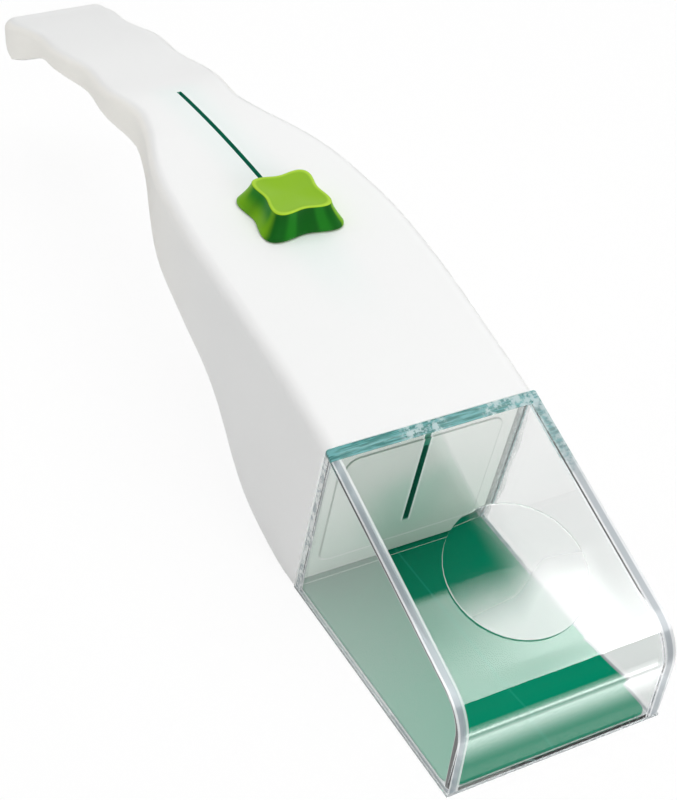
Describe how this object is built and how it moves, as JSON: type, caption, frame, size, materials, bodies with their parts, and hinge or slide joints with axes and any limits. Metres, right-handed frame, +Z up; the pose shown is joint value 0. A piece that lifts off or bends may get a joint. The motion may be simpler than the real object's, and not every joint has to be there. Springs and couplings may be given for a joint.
{
  "type": "spider catcher",
  "caption": "Hand-held live insect catcher: clear wedge-shaped chamber with a magnifier, and a thumb button that slides a flexible sheet across its open floor.",
  "frame": {"origin": "under the middle of the whole catcher, on the plane that the floor rim rests on", "axes": "+Y from the chamber to the handle's end, +X to the right of a user who looks along +Y, +Z up"},
  "size_m": [0.0726, 0.397, 0.0915],
  "materials": {
    "white_plastic": "satin white injection moulding",
    "inner_plastic": "satin off-white injection moulding",
    "clear_plastic": "polished clear styrene",
    "lens_plastic": "polished clear acrylic",
    "lime_plastic": "satin lime green moulding",
    "green_plastic": "satin deep green moulding",
    "green_sheet": "semi-gloss deep green flexible sheet",
    "steel": "bright zinc-plated steel"
  },
  "bodies": {
    "housing": {"catch_chamber": "clear_plastic", "magnifier_lens": "lens_plastic", "guide_frame": "clear_plastic", "front_bulkhead": "white_plastic", "housing_shell": "white_plastic", "housing_base": "white_plastic", "left_sheet_track": "inner_plastic", "right_sheet_track": "inner_plastic", "left_shoulder_screw": "steel", "right_shoulder_screw": "steel", "left_neck_screw": "steel", "right_neck_screw": "steel", "tail_screw": "steel"},
    "thumb_slider": {"thumb_button": "lime_plastic", "button_pin": "steel", "slide_carriage": "green_plastic", "slot_cover_strip": "green_plastic", "sheet_tongue": "green_sheet", "left_tongue_stud": "steel", "right_tongue_stud": "steel"},
    "sheet": {"closing_sheet": "green_sheet"}
  },
  "joints": [
    {"name": "thumb_slide", "type": "hinge", "parent": "housing", "child": "thumb_slider", "pos_m": [0, 0.0318, -0.505], "axis": [-1, 0, 0], "range_deg": [0, 7.96], "deforming": ["slot_cover_strip", "sheet_tongue"]},
    {"name": "sheet_slide", "type": "slide", "parent": "housing", "child": "sheet", "axis": [0, 1, 0], "range_m": [0, 0.0821], "deforming": ["closing_sheet"]}
  ],
  "couplings": [
    {"joint": "sheet_slide", "follows": "thumb_slide", "m_per_rad": 0.59}
  ]
}
